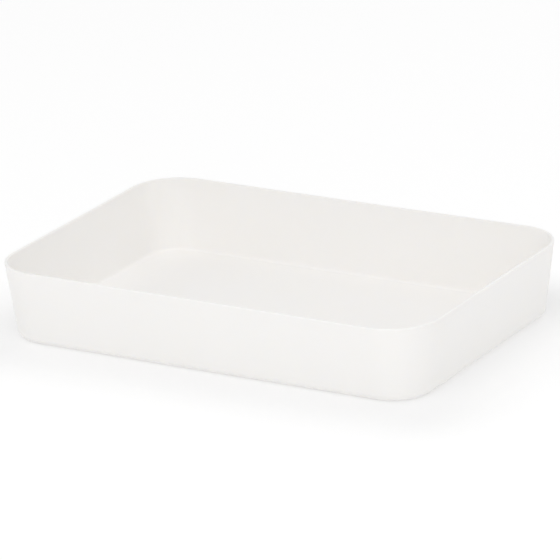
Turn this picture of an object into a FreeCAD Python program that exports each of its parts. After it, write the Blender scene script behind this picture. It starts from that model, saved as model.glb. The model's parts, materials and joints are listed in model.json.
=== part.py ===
"""Open rectangular tray, injection moulded in one piece in white polypropylene.

The tray stands on the plane z = 0, with the middle of its underside at the origin, its length along X
and its width along Y. All sizes are in millimetres and all angles in degrees.

The wall has the same section all the way round: ground band, outer bottom curve, leaning wall, rim,
inner wall, inner curve and floor. That section is run straight along the four sides, turned about the
four corner centres, and joined to the flat middle of the floor.
"""
import FreeCAD
import Part
import math
import os

from FreeCAD import Vector

# Overall sizes, over the rim
LENGTH = 370.0
WIDTH = 250.0
HEIGHT = 60.0

# Outline and walls
RIM_CORNER_RADIUS = 38.0        # outer radius of each corner, at the rim
DRAFT_ANGLE = 7.6               # how far the walls lean outward from upright
WALL_THICKNESS = 2.5            # measured square to the wall
FLOOR_THICKNESS = 1.9

# Curves along the wall's section
OUTER_BOTTOM_RADIUS = 7.0       # between underside and outer wall
INNER_FLOOR_RADIUS = 3.0        # between floor and inner wall
RIM_EDGE_RADIUS = 0.8           # both edges of the rim's flat top

# Underside: only a narrow band round the edge stands on the table
RECESS_DEPTH = 0.3              # how far the middle is lifted clear of the table
GROUND_BAND_WIDTH = 6.0
RECESS_EDGE_LENGTH = 1.6        # sloped step between band and recess
RECESS_EDGE_RADIUS = 0.6

# Gate mark in the middle of the underside, where the plastic entered the mould
GATE_DIMPLE_DIAMETER = 10.0
GATE_DIMPLE_DEPTH = 0.5
GATE_NUB_DIAMETER = 2.4
GATE_NUB_HEIGHT = 0.4

# Worked out from the sizes above
FLOOR_TOP = RECESS_DEPTH + FLOOR_THICKNESS
CORNER_X = LENGTH / 2 - RIM_CORNER_RADIUS
CORNER_Y = WIDTH / 2 - RIM_CORNER_RADIUS
QUARTER_TURN = 90.0
UP = Vector(0, 0, 1)


def rounded_wire(corners):
    """Closed wire through (point, radius) corners, where a radius of 0 leaves the corner sharp."""
    starts, ends, edges = [], [], []
    for index, (point, radius) in enumerate(corners):
        to_last = (corners[index - 1][0] - point).normalize()
        to_next = (corners[(index + 1) % len(corners)][0] - point).normalize()
        half_angle = to_last.getAngle(to_next) / 2
        setback = radius / math.tan(half_angle)
        starts.append(point + to_last * setback)
        ends.append(point + to_next * setback)
        if radius > 0:
            to_centre = (to_last + to_next).normalize()
            nearest = point + to_centre * (radius / math.sin(half_angle) - radius)
            edges.append(Part.Arc(starts[-1], nearest, ends[-1]).toShape())
    for index, end in enumerate(ends):
        edges.append(Part.LineSegment(end, starts[(index + 1) % len(starts)]).toShape())
    return Part.Wire(Part.__sortEdges__(edges))


def wall_section():
    """Face of the wall's section in the XZ plane, where x = 0 is the axis of a corner.

    The rim's rounded edge reaches exactly RIM_CORNER_RADIUS, so its sharp corner lies a little outside.
    """
    lean = math.radians(DRAFT_ANGLE)
    level_wall = WALL_THICKNESS / math.cos(lean)
    rim_x = RIM_CORNER_RADIUS + RIM_EDGE_RADIUS * ((1 + math.sin(lean)) / math.cos(lean) - 1)
    base_x = rim_x - HEIGHT * math.tan(lean)
    inner_x = rim_x - (HEIGHT - FLOOR_TOP) * math.tan(lean) - level_wall
    curve_start_x = base_x - OUTER_BOTTOM_RADIUS * (1 - math.sin(lean)) / math.cos(lean)
    band_x = curve_start_x - GROUND_BAND_WIDTH
    corners = [
        (Vector(0, 0, RECESS_DEPTH), 0),
        (Vector(band_x - RECESS_EDGE_LENGTH, 0, RECESS_DEPTH), RECESS_EDGE_RADIUS),
        (Vector(band_x, 0, 0), RECESS_EDGE_RADIUS),
        (Vector(base_x, 0, 0), OUTER_BOTTOM_RADIUS),
        (Vector(rim_x, 0, HEIGHT), RIM_EDGE_RADIUS),
        (Vector(rim_x - level_wall, 0, HEIGHT), RIM_EDGE_RADIUS),
        (Vector(inner_x, 0, FLOOR_TOP), INNER_FLOOR_RADIUS),
        (Vector(0, 0, FLOOR_TOP), 0),
    ]
    return Part.Face(rounded_wire(corners))


def place(shape, turn, x, y):
    """Copy of a shape, turned about the vertical axis and then moved to (x, y)."""
    moved = shape.copy()
    moved.Placement = FreeCAD.Placement(Vector(x, y, 0), FreeCAD.Rotation(UP, turn))
    return moved


def side(section, run, turn, x, y):
    """One straight side: the section run along it, starting at the corner axis (x, y)."""
    return place(section.extrude(Vector(0, run, 0)), turn, x, y)


def corner(section, turn, x, y):
    """One corner: the section turned through a quarter about the corner axis (x, y)."""
    return place(section.revolve(Vector(0, 0, 0), UP, QUARTER_TURN), turn, x, y)


def floor_middle():
    """The flat middle of the floor, between the four corner axes."""
    start = Vector(-CORNER_X, -CORNER_Y, RECESS_DEPTH)
    return Part.makeBox(2 * CORNER_X, 2 * CORNER_Y, FLOOR_THICKNESS, start)


def gate_mark(body):
    """Dimple in the underside with the short stub of the gate inside it."""
    dimple_top = RECESS_DEPTH + GATE_DIMPLE_DEPTH
    dimple = Part.makeCylinder(GATE_DIMPLE_DIAMETER / 2, dimple_top)
    nub_start = Vector(0, 0, dimple_top - GATE_NUB_HEIGHT)
    nub = Part.makeCylinder(GATE_NUB_DIAMETER / 2, GATE_NUB_HEIGHT, nub_start)
    return body.cut(dimple).fuse(nub)


def tray():
    section = wall_section()
    pieces = [
        side(section, 2 * CORNER_Y, 0, CORNER_X, -CORNER_Y),
        side(section, 2 * CORNER_X, 90, CORNER_X, CORNER_Y),
        side(section, 2 * CORNER_Y, 180, -CORNER_X, CORNER_Y),
        side(section, 2 * CORNER_X, 270, -CORNER_X, -CORNER_Y),
        corner(section, 0, CORNER_X, CORNER_Y),
        corner(section, 90, -CORNER_X, CORNER_Y),
        corner(section, 180, -CORNER_X, -CORNER_Y),
        corner(section, 270, CORNER_X, -CORNER_Y),
    ]
    joined = floor_middle().multiFuse(pieces)
    return gate_mark(joined).removeSplitter()


def export(name, shape):
    """Write one named piece, after making sure that it is a single sound solid."""
    solid = shape.Solids[0]
    if len(shape.Solids) != 1 or not solid.isValid():
        raise RuntimeError(name + " is not one valid solid")
    box = solid.optimalBoundingBox(True, False)
    print(name, "size", round(box.XLength, 3), round(box.YLength, 3), round(box.ZLength, 3))
    print(name, "volume", round(solid.Volume / 1000, 2), "cm3,", len(solid.Faces), "faces")
    solid.exportStep("parts/" + name + ".step")


os.makedirs("parts", exist_ok=True)
export("tray", tray())
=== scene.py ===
# %% [markdown]
# # An open storage tray, moulded in one piece
#
# The real tray is a single injection moulding in white polypropylene: a flat floor, four walls that lean
# outward so that the part slides off its mould, large rounded corners and a plain rim. Nothing is screwed,
# glued or hinged to it. The CAD model already holds its size and place, so this file makes what the eye
# sees: a clean skin with the small unevenness of a moulding, the plastic itself, a table, light and a camera.
#
# Every length here is in metres, in the CAD model's frame: X along the tray, Y across it, Z up, and the
# origin in the middle of the underside.

import json
import math

import bmesh
import bpy
from mathutils import Matrix, Vector
from mathutils.bvhtree import BVHTree


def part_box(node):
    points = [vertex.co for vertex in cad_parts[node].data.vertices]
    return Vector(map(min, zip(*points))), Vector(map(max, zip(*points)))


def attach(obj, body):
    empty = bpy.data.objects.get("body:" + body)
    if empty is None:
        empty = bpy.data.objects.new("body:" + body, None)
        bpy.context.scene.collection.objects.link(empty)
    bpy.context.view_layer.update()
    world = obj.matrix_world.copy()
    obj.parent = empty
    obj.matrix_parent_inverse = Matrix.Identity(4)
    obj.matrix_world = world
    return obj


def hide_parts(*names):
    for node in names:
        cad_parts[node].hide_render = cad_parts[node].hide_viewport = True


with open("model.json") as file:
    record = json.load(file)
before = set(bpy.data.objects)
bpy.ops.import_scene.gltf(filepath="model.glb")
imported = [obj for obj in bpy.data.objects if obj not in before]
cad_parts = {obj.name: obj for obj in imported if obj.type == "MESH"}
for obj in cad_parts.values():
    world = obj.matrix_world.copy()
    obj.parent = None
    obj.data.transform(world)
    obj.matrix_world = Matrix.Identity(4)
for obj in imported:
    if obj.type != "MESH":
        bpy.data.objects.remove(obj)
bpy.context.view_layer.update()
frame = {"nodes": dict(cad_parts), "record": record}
low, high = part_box("tray")
length, width, height = high - low
print("the CAD tray measures", [round(side * 1000, 1) for side in (length, width, height)], "mm")

# %% [markdown]
# ## The camera
#
# A long lens from far away keeps the tray's opposite sides almost parallel, so that its proportions are easy
# to judge. The camera stands off one long side, turned towards the corner, and looks down a little. It is
# held a few degrees off level. Putting it first means that every later step can be looked at straight away.

# %% Camera
LENS_MM = 301.9
SENSOR_MM = 36.0
CAMERA_AIM = Vector((0.0, -0.0006, 0.0355))
CAMERA_AZIMUTH = math.radians(30.97)
CAMERA_ELEVATION = math.radians(19.34)
CAMERA_TILT = math.radians(-2.49)
CAMERA_DISTANCE = 3.572
FURTHEST_SEEN = 50.0


def aimed(aim, azimuth, elevation, tilt, distance):
    """Placement of something that looks at a point from that side, height, tilt and distance."""
    turn = Matrix.Rotation(azimuth, 4, "Z") @ Matrix.Rotation(math.pi / 2 - elevation, 4, "X")
    turn = turn @ Matrix.Rotation(tilt, 4, "Z")
    return Matrix.Translation(aim) @ turn @ Matrix.Translation((0, 0, distance))


camera_data = bpy.data.cameras.new("product_camera")
camera_data.lens = LENS_MM
camera_data.sensor_width = SENSOR_MM
camera_data.clip_end = FURTHEST_SEEN
camera = bpy.data.objects.new("product_camera", camera_data)
camera.matrix_world = aimed(CAMERA_AIM, CAMERA_AZIMUTH, CAMERA_ELEVATION, CAMERA_TILT, CAMERA_DISTANCE)
bpy.context.scene.collection.objects.link(camera)
bpy.context.scene.camera = camera
print("the camera stands at", [round(c, 2) for c in camera.location], "m")

# %% [markdown]
# ## The wall's section
#
# All round the tray the plastic has the same section. It is drawn once, as a polygon with a radius at each
# corner, in two numbers per point: how far out it reaches from the axis of a rounded corner, and how high it
# is. Starting underneath, it runs over the step of the shallow recess, the band that stands on the table, the
# outer wall, the rim, the inner wall and the curve into the floor.
#
# The same outline could be a curve object with bevelled points. A list of points is chosen here because the
# next step has to know which point is which.

# %% Section sizes
MM = 0.001  # one millimetre, in metres
RIM_CORNER_RADIUS = 38.0 * MM
DRAFT = math.radians(7.6)
WALL = 2.5 * MM
RIM_EDGE_RADIUS = 0.8 * MM
OUTER_BOTTOM_RADIUS = 7.0 * MM
INNER_FLOOR_RADIUS = 3.0 * MM
RECESS_DEPTH = 0.3 * MM
GROUND_BAND = 6.0 * MM
RECESS_STEP = 1.6 * MM
RECESS_STEP_RADIUS = 0.6 * MM
ARC_STEP = math.radians(9.0)  # the widest angle that one face of a rounded edge turns through
WALL_ROWS = 8  # faces up the height of a wall

floor_mount = next(m for m in frame["record"]["mounts"] if m["name"] == "inside_floor")
floor_top = floor_mount["pos_m"][2]
print("the inside floor lies", round(floor_top / MM, 2), "mm above the table")


# %% Rounded outlines
def rounded(corners):
    """Points of an open outline through (point, radius) corners. Its two end points have no radius."""
    points = [corners[0][0]]
    for (before, _), (corner, radius), (after, _) in zip(corners, corners[1:], corners[2:]):
        back = (before - corner).normalized()
        on = (after - corner).normalized()
        half_angle = back.angle(on) / 2
        centre = corner + (back + on).normalized() * (radius / math.sin(half_angle))
        first = corner + back * (radius / math.tan(half_angle)) - centre
        sweep = (2 * half_angle - math.pi) * math.copysign(1, back.cross(on))
        steps = math.ceil(abs(sweep) / ARC_STEP)
        for step in range(steps + 1):
            points.append(centre + Matrix.Rotation(sweep * step / steps, 2) @ first)
    return points + [corners[-1][0]]


def with_rows(points, longest):
    """The same outline with extra points, so that no run between two of them is longer than that."""
    result = [points[0]]
    for start, end in zip(points, points[1:]):
        rows = max(1, math.ceil((end - start).length / longest))
        result += [start.lerp(end, row / rows) for row in range(1, rows + 1)]
    return result


lean = math.tan(DRAFT)
level_wall = WALL / math.cos(DRAFT)
rim_reach = RIM_CORNER_RADIUS + RIM_EDGE_RADIUS * ((1 + math.sin(DRAFT)) / math.cos(DRAFT) - 1)
base_reach = rim_reach - height * lean
inner_reach = rim_reach - (height - floor_top) * lean - level_wall
band_reach = base_reach - OUTER_BOTTOM_RADIUS * (1 - math.sin(DRAFT)) / math.cos(DRAFT) - GROUND_BAND
section = with_rows(rounded([
    (Vector((0, RECESS_DEPTH)), 0),
    (Vector((band_reach - RECESS_STEP, RECESS_DEPTH)), RECESS_STEP_RADIUS),
    (Vector((band_reach, 0)), RECESS_STEP_RADIUS),
    (Vector((base_reach, 0)), OUTER_BOTTOM_RADIUS),
    (Vector((rim_reach, height)), RIM_EDGE_RADIUS),
    (Vector((rim_reach - level_wall, height)), RIM_EDGE_RADIUS),
    (Vector((inner_reach, floor_top)), INNER_FLOOR_RADIUS),
    (Vector((0, floor_top)), 0),
]), height / WALL_ROWS)
print("the section has", len(section), "points")

# %% [markdown]
# ## The moulding's skin
#
# The section is carried round the tray on stations. A station is an anchor point and an outward direction:
# at a corner the anchor stays on the corner's axis while the direction turns, and along a side the direction
# stays while the anchor moves. Neighbouring stations are joined with four-sided faces, which shade evenly.
# The flat middles of the floor and of the underside are then filled with a grid.
#
# Extruding and bevelling a block would give the same outside, but this way every row of faces follows the
# real section, and the wall has its true thickness everywhere.

# %% Stations round the tray
CORNER_STEPS = 24  # faces round one corner, then along a long and a short side between the corners
LONG_STEPS = 32
SHORT_STEPS = 20

corner_x = length / 2 - RIM_CORNER_RADIUS
corner_y = width / 2 - RIM_CORNER_RADIUS


def stations():
    """(anchor, outward direction) pairs, anticlockwise from where the +X wall meets the +X, +Y corner."""
    result = []
    axes = [(corner_x, corner_y), (-corner_x, corner_y), (-corner_x, -corner_y), (corner_x, -corner_y)]
    for index, axis in enumerate(axes):
        start = index * math.pi / 2
        for step in range(CORNER_STEPS + 1):
            angle = start + step / CORNER_STEPS * math.pi / 2
            result.append((Vector((*axis, 0)), Vector((math.cos(angle), math.sin(angle), 0))))
        steps = LONG_STEPS if index % 2 == 0 else SHORT_STEPS
        anchor, outward = result[-1]
        next_anchor = Vector((*axes[(index + 1) % 4], 0))
        result += [(anchor.lerp(next_anchor, step / steps), outward) for step in range(1, steps)]
    return result


ring_stations = stations()
print("the section is carried through", len(ring_stations), "stations")


# %% Walls, rim and curves
def bridge(mesh, first, second):
    """Four-sided faces between two closed rings of the same number of points."""
    count = len(first)
    for i in range(count):
        j = (i + 1) % count
        corners = [first[i], first[j], second[j], second[i]]
        if len(set(corners)) == 4:
            mesh.faces.new(corners)


skin = bmesh.new()
rings = []
for reach, level in section:
    rings.append([skin.verts.new(anchor + outward * reach + Vector((0, 0, level)))
                  for anchor, outward in ring_stations])
for lower, upper in zip(rings, rings[1:]):
    bridge(skin, lower, upper)
print("walls, rim and curves:", len(skin.faces), "faces")

# %% [markdown]
# ## The gate mark
#
# Plastic enters the mould through a small gate in the middle of the underside. When the part is broken off
# its runner, a short stub stays behind, and toolmakers set it in a dimple so that it never touches the table.
# It is a small turned shape: a section again, but carried round one point.

# %% Gate mark
DIMPLE_RADIUS = 5.0 * MM
DIMPLE_DEPTH = 0.5 * MM
STUB_RADIUS = 1.2 * MM
STUB_HEIGHT = 0.4 * MM
STUB_FLAT_RADIUS = 0.3 * MM
MARK_EDGE_RADIUS = 0.15 * MM
MARK_REACH = 10.0 * MM
BLOCK = 4  # half the width of the square of grid steps that the mark fills

dimple_top = RECESS_DEPTH + DIMPLE_DEPTH
mark_section = rounded([
    (Vector((MARK_REACH, RECESS_DEPTH)), 0),
    (Vector((DIMPLE_RADIUS, RECESS_DEPTH)), MARK_EDGE_RADIUS),
    (Vector((DIMPLE_RADIUS, dimple_top)), MARK_EDGE_RADIUS),
    (Vector((STUB_RADIUS, dimple_top)), MARK_EDGE_RADIUS),
    (Vector((STUB_RADIUS, dimple_top - STUB_HEIGHT)), MARK_EDGE_RADIUS),
    (Vector((STUB_FLAT_RADIUS, dimple_top - STUB_HEIGHT)), 0),
])


def block_edge(half):
    """Grid steps (i, j) round the edge of a square block, anticlockwise from its +X, +Y corner."""
    across = list(range(half, -half, -1))
    along = list(range(-half, half))
    return ([(i, half) for i in across] + [(-half, j) for j in across]
            + [(i, -half) for i in along] + [(half, j) for j in along])


def gate_mark(mesh, outer_ring):
    """Fills the hole inside a ring of points, which starts at its +X, +Y corner, with the dimple and stub."""
    count = len(outer_ring)
    last = outer_ring
    for reach, level in mark_section:
        ring = []
        for index in range(count):
            angle = math.pi / 4 + index / count * 2 * math.pi
            ring.append(mesh.verts.new((reach * math.cos(angle), reach * math.sin(angle), level)))
        bridge(mesh, last, ring)
        last = ring
    mesh.faces.new(last)


# %% Middle of the floor and of the underside
def middle(mesh, edge_ring, level, hole):
    """Grid of faces between the corner axes. The hole is half the width, in steps, of a square left open."""
    half_x, half_y = LONG_STEPS // 2, SHORT_STEPS // 2
    points = {}
    for vert in edge_ring:
        key = (round(vert.co.x / corner_x * half_x), round(vert.co.y / corner_y * half_y))
        points.setdefault(key, vert)
    for i in range(-half_x, half_x + 1):
        for j in range(-half_y, half_y + 1):
            inside_hole = abs(i) < hole and abs(j) < hole
            if (i, j) not in points and not inside_hole:
                place = (corner_x * i / half_x, corner_y * j / half_y, level)
                points[(i, j)] = mesh.verts.new(place)
    for i in range(-half_x, half_x):
        for j in range(-half_y, half_y):
            if not (-hole <= i < hole and -hole <= j < hole):
                steps = [(i, j), (i + 1, j), (i + 1, j + 1), (i, j + 1)]
                mesh.faces.new([points[step] for step in steps])
    return points


WELD = 0.001 * MM  # points closer than this are one point

underside = middle(skin, rings[0], RECESS_DEPTH, BLOCK)
gate_mark(skin, [underside[step] for step in block_edge(BLOCK)])
middle(skin, rings[-1], floor_top, 0)
bmesh.ops.remove_doubles(skin, verts=skin.verts, dist=WELD)
bmesh.ops.recalc_face_normals(skin, faces=skin.faces)
open_edges = [edge for edge in skin.edges if not edge.is_manifold]
print("the whole skin:", len(skin.faces), "faces,", len(open_edges), "open edges")

# %% [markdown]
# ## How a moulding settles
#
# No moulding comes out perfectly flat. As the plastic cools it shrinks, and the middle of each wall is drawn
# in by a fraction of a millimetre, most of all at the rim, where nothing holds it. The floor sinks a little
# in the middle too. Both are too small to see as a bend, but they make the soft shading drift across the
# walls, and without them the walls look like sheets of glass. Neither moves the skin outward, so the tray
# keeps its overall size.
#
# A lattice or a sculpting brush could bend the walls too. A short formula is chosen because its few sizes can
# be read and changed in millimetres.

# %% Shrinkage
LONG_WALL_PULL = 0.5 * MM
SHORT_WALL_PULL = 0.3 * MM
FLOOR_SAG = 0.15 * MM
RISE_POWER = 1.5  # how strongly the pull grows from the base to the rim
PULL_EDGE = RIM_CORNER_RADIUS / 2  # the pull takes full hold this far out past the corner axes


def bulge(place, half):
    """1 in the middle of a side or floor, falling smoothly to 0 at plus and minus half."""
    return max(0.0, 1 - (place / half) ** 2) ** 2


def wall_share(place, corner):
    """How far out a point is past a corner axis: 0 at the axis, and 1 from the pull's edge outward."""
    return min(1.0, max(0.0, abs(place) - corner) / PULL_EDGE)


def settle(vert):
    """Moves one point of the skin to where shrinkage leaves it."""
    x, y, z = vert.co
    rise = max(0.0, z / height) ** RISE_POWER
    vert.co.y -= math.copysign(LONG_WALL_PULL * rise * bulge(x, corner_x) * wall_share(y, corner_y), y)
    vert.co.x -= math.copysign(SHORT_WALL_PULL * rise * bulge(y, corner_y) * wall_share(x, corner_x), x)
    if z <= floor_top + DIMPLE_DEPTH:
        vert.co.z -= FLOOR_SAG * bulge(x, corner_x) * bulge(y, corner_y)


for vert in skin.verts:
    settle(vert)

tray_mesh = bpy.data.meshes.new("tray_moulding")
skin.to_mesh(tray_mesh)
skin.free()
tray_mesh.shade_smooth()
tray = bpy.data.objects.new("tray_moulding", tray_mesh)
bpy.context.scene.collection.objects.link(tray)
tray.modifiers.new("flats_stay_flat", "WEIGHTED_NORMAL")

cad_tree = BVHTree.FromObject(frame["nodes"]["tray"], bpy.context.evaluated_depsgraph_get())
furthest = max(cad_tree.find_nearest(vert.co)[3] for vert in tray_mesh.vertices)
print("the settled skin leaves the CAD surface by at most", round(furthest / MM, 2), "mm")

# %% [markdown]
# ## White polypropylene
#
# Polypropylene is a waxy plastic. Light goes a little way in and comes out softened, so its shadows are never
# hard and thin edges glow. The mould was spark-eroded, which leaves a fine, even, satin grain: highlights are
# wide and soft, with no mirror in them. The white is slightly warm, and warmer inside the tray, where light
# bounces from wall to wall and picks up the plastic's own colour each time.
#
# A plain diffuse white would look like paper. The waxiness comes from subsurface scattering, the satin from
# roughness, and the grain from a bump in the material, because it is far too fine to be made of faces. Two
# broad noises let the white and the satin drift a little over the tray, as they do where plastic flowed.

# %% Colour and node helpers
def linear(hex_colour):
    """Linear colour, with alpha, from an sRGB hex value. The numbers are those of the sRGB standard."""
    channels = [int(hex_colour[i:i + 2], 16) / 255 for i in (1, 3, 5)]
    return (*(c / 12.92 if c <= 0.04045 else ((c + 0.055) / 1.055) ** 2.4 for c in channels), 1.0)


def add_node(tree, kind, settings=(), values=(), links=()):
    """A node of that kind with its settings, input values, and links into its inputs."""
    node = tree.nodes.new(kind)
    for name, value in dict(settings).items():
        setattr(node, name, value)
    for name, value in dict(values).items():
        node.inputs[name].default_value = value
    for name, source in dict(links).items():
        tree.links.new(source, node.inputs[name])
    return node


def new_material(name):
    """An empty node material and its tree."""
    material = bpy.data.materials.new(name)
    material.use_nodes = True
    material.node_tree.nodes.clear()
    return material, material.node_tree


# %% White polypropylene, spark-eroded satin
WHITE = "#FAF8F6"
CREAM = "#F8F6F3"
TINT_PATCH = 80 * MM
TINT_DETAIL = 2.0
GLOSS_PATCH = 25 * MM
GLOSS_DETAIL = 3.0
GRAIN = 1.0 * MM  # a real spark-eroded grain is about 0.1 mm wide, too fine to show, so it is drawn coarser
GRAIN_DEPTH = 0.01 * MM
GRAIN_DETAIL = 4.0
SATIN = (0.40, 0.48)
GLOW_DEPTH = 3.0 * MM  # how deep light wanders in, about the thickness of the wall
GLOW_COLOUR = (1.0, 0.95, 0.85)  # red light wanders furthest, so thin edges glow warm
PLASTIC_IOR = 1.49
WAXINESS = 0.3


def polypropylene():
    """White polypropylene with a fine satin grain. It looks waxy and soft, never like paper or glass."""
    material, tree = new_material("white_polypropylene_satin")
    place = add_node(tree, "ShaderNodeTexCoord").outputs["Object"]
    tint = add_node(tree, "ShaderNodeTexNoise", values={"Scale": 1 / TINT_PATCH, "Detail": TINT_DETAIL},
                    links={"Vector": place})
    colours = add_node(tree, "ShaderNodeValToRGB", links={"Fac": tint.outputs["Fac"]})
    colours.color_ramp.elements[0].color = linear(CREAM)
    colours.color_ramp.elements[1].color = linear(WHITE)
    gloss = add_node(tree, "ShaderNodeTexNoise", values={"Scale": 1 / GLOSS_PATCH, "Detail": GLOSS_DETAIL},
                     links={"Vector": place})
    satin = add_node(tree, "ShaderNodeMapRange", values={"To Min": SATIN[0], "To Max": SATIN[1]},
                     links={"Value": gloss.outputs["Fac"]})
    grain = add_node(tree, "ShaderNodeTexNoise", values={"Scale": 1 / GRAIN, "Detail": GRAIN_DETAIL},
                     links={"Vector": place})
    bump = add_node(tree, "ShaderNodeBump", values={"Distance": GRAIN_DEPTH},
                    links={"Height": grain.outputs["Fac"]})
    plastic = add_node(tree, "ShaderNodeBsdfPrincipled", values={
        "IOR": PLASTIC_IOR,
        "Subsurface Weight": WAXINESS,
        "Subsurface Radius": GLOW_COLOUR,
        "Subsurface Scale": GLOW_DEPTH,
    }, links={
        "Base Color": colours.outputs["Color"],
        "Roughness": satin.outputs["Result"],
        "Normal": bump.outputs["Normal"],
    })
    add_node(tree, "ShaderNodeOutputMaterial", links={"Surface": plastic.outputs["BSDF"]})
    return material


tray_mesh.materials.append(polypropylene())
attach(tray, "root")
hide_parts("tray")
print("the tray rides on the root body and stands for the CAD tray")

# %% [markdown]
# ## The table
#
# The tray stands on a plain white sheet, many metres wide, so that its edge is never in sight. In a studio
# such a sheet is often lit from below as well, which keeps the contact shadow faint: here it gives off part
# of its own light. Close to the tray that glow is painted a little weaker, and it fades in over a band round
# the tray's outline: a painted soft shadow round the tray. The back of the sheet is clear, so that the
# underside of the tray can be looked at from below. The sheet lies a hair under the tray, because two faces
# at exactly the same height flicker.
#
# A plain white sheet without that glow would be simpler, but it turns grey under the tray's leaning walls.

# %% Table
LIGHT_WHITE = "#FFFFFF"
TABLE_SIZE = 30.0
TABLE_GAP = 0.05 * MM
TABLE_GREY = "#BCBCBC"
TABLE_ROUGHNESS = 0.8
# the glow at the tray's outline, painted weaker than far away as a soft shadow round the tray
GLOW_IN_PAINTED_SHADOW = 0.42
GLOW_FAR = 0.52
PAINTED_SHADOW_WIDTH = 80 * MM  # the painted shadow fades out, and the glow reaches its full strength, this far from the tray's outline


def table_top():
    """Matt sheet with light coming through it, painted a little weaker close to the tray as a soft shadow. It
    is pale, and clear from underneath.
    """
    material, tree = new_material("matt_light_table")
    place = add_node(tree, "ShaderNodeTexCoord").outputs["Object"]
    one_quarter = add_node(tree, "ShaderNodeVectorMath", {"operation": "ABSOLUTE"}, links={"Vector": place})
    past_edge = add_node(tree, "ShaderNodeVectorMath", {"operation": "SUBTRACT"},
                         links={"Vector": one_quarter.outputs["Vector"]})
    past_edge.inputs[1].default_value = (length / 2, width / 2, 0)
    outside = add_node(tree, "ShaderNodeVectorMath", {"operation": "MAXIMUM"},
                       links={"Vector": past_edge.outputs["Vector"]})
    outside.inputs[1].default_value = (0, 0, 0)
    gap = add_node(tree, "ShaderNodeVectorMath", {"operation": "LENGTH"},
                   links={"Vector": outside.outputs["Vector"]})
    # the glow is painted weaker near the tray's outline and rises to full strength further out: a painted
    # soft shadow round the tray
    glow = add_node(tree, "ShaderNodeMapRange", {"interpolation_type": "SMOOTHSTEP"},
                    {"From Max": PAINTED_SHADOW_WIDTH, "To Min": GLOW_IN_PAINTED_SHADOW, "To Max": GLOW_FAR},
                    {"Value": gap.outputs["Value"]})
    sheet = add_node(tree, "ShaderNodeBsdfPrincipled", values={
        "Base Color": linear(TABLE_GREY),
        "Roughness": TABLE_ROUGHNESS,
        "Emission Color": linear(LIGHT_WHITE),
    }, links={"Emission Strength": glow.outputs["Result"]})
    clear = add_node(tree, "ShaderNodeBsdfTransparent")
    side = add_node(tree, "ShaderNodeNewGeometry")
    both = add_node(tree, "ShaderNodeMixShader")
    tree.links.new(side.outputs["Backfacing"], both.inputs[0])
    tree.links.new(sheet.outputs["BSDF"], both.inputs[1])
    tree.links.new(clear.outputs["BSDF"], both.inputs[2])
    add_node(tree, "ShaderNodeOutputMaterial", links={"Surface": both.outputs["Shader"]})
    material.cycles.emission_sampling = "NONE"
    return material


half_table = TABLE_SIZE / 2
table_corners = [(-half_table, -half_table), (half_table, -half_table), (half_table, half_table),
                 (-half_table, half_table)]
table_mesh = bpy.data.meshes.new("table_top")
table_mesh.from_pydata([(x, y, 0) for x, y in table_corners], [], [(0, 1, 2, 3)])
table_mesh.materials.append(table_top())
table = bpy.data.objects.new("table_top", table_mesh)
table.location.z = -TABLE_GAP
bpy.context.scene.collection.objects.link(table)
print("the table is", TABLE_SIZE, "m wide and lies", round(TABLE_GAP / MM, 2), "mm under the tray")

# %% [markdown]
# ## Soft light from all round
#
# White goods are best lit inside a tent: large lamps outside white cloth, so that every wall gets nearly the
# same light and only a few grey levels tell one wall from the next. The cloth is the even white world. Large
# softboxes stand outside it, as a list, so that one can be moved or dimmed without touching the others.
#
# - The high front lamp and the one beside the camera make the long wall and the near corner the brightest.
# - The lamps behind shine over the near walls onto the floor. The left one fills the shadow side.
# - Nothing hard shines on the tray. A single hard lamp would draw its shape more strongly, but it would burn
#   out the white plastic on one side and lose it in shadow on the other.

# %% Light tent
TENT_GLOW = 0.52
LAMP_DISTANCE = 3.0
LAMP_SIZE = 2.0
# name, degrees round the tray from its long front, degrees above the table, watts
LAMPS = [
    ("high_front_softbox", 10, 60, 27),
    ("camera_side_softbox", 28, 22, 6),
    ("right_front_softbox", 62, 30, 6),
    ("left_softbox", -90, 25, 12),
    ("back_softbox", 180, 25, 9),
    ("back_right_softbox", 135, 40, 8),
]

bpy.context.scene.view_settings.view_transform = "Standard"
tent = bpy.data.worlds.new("studio_tent")
bpy.context.scene.world = tent
tent.use_nodes = True
cloth = tent.node_tree.nodes["Background"]
cloth.inputs["Color"].default_value = linear(LIGHT_WHITE)
cloth.inputs["Strength"].default_value = TENT_GLOW


def softbox(name, azimuth, elevation, watts):
    """Square lamp that faces the tray. The camera can't see it."""
    lamp = bpy.data.lights.new(name, "AREA")
    lamp.size = LAMP_SIZE
    lamp.energy = watts
    light = bpy.data.objects.new(name, lamp)
    light.matrix_world = aimed(CAMERA_AIM, math.radians(azimuth), math.radians(elevation), 0, LAMP_DISTANCE)
    light.visible_camera = False
    bpy.context.scene.collection.objects.link(light)


for lamp_settings in LAMPS:
    softbox(*lamp_settings)
print(len(LAMPS), "softboxes,", LAMP_SIZE, "m wide, stand", LAMP_DISTANCE, "m away")
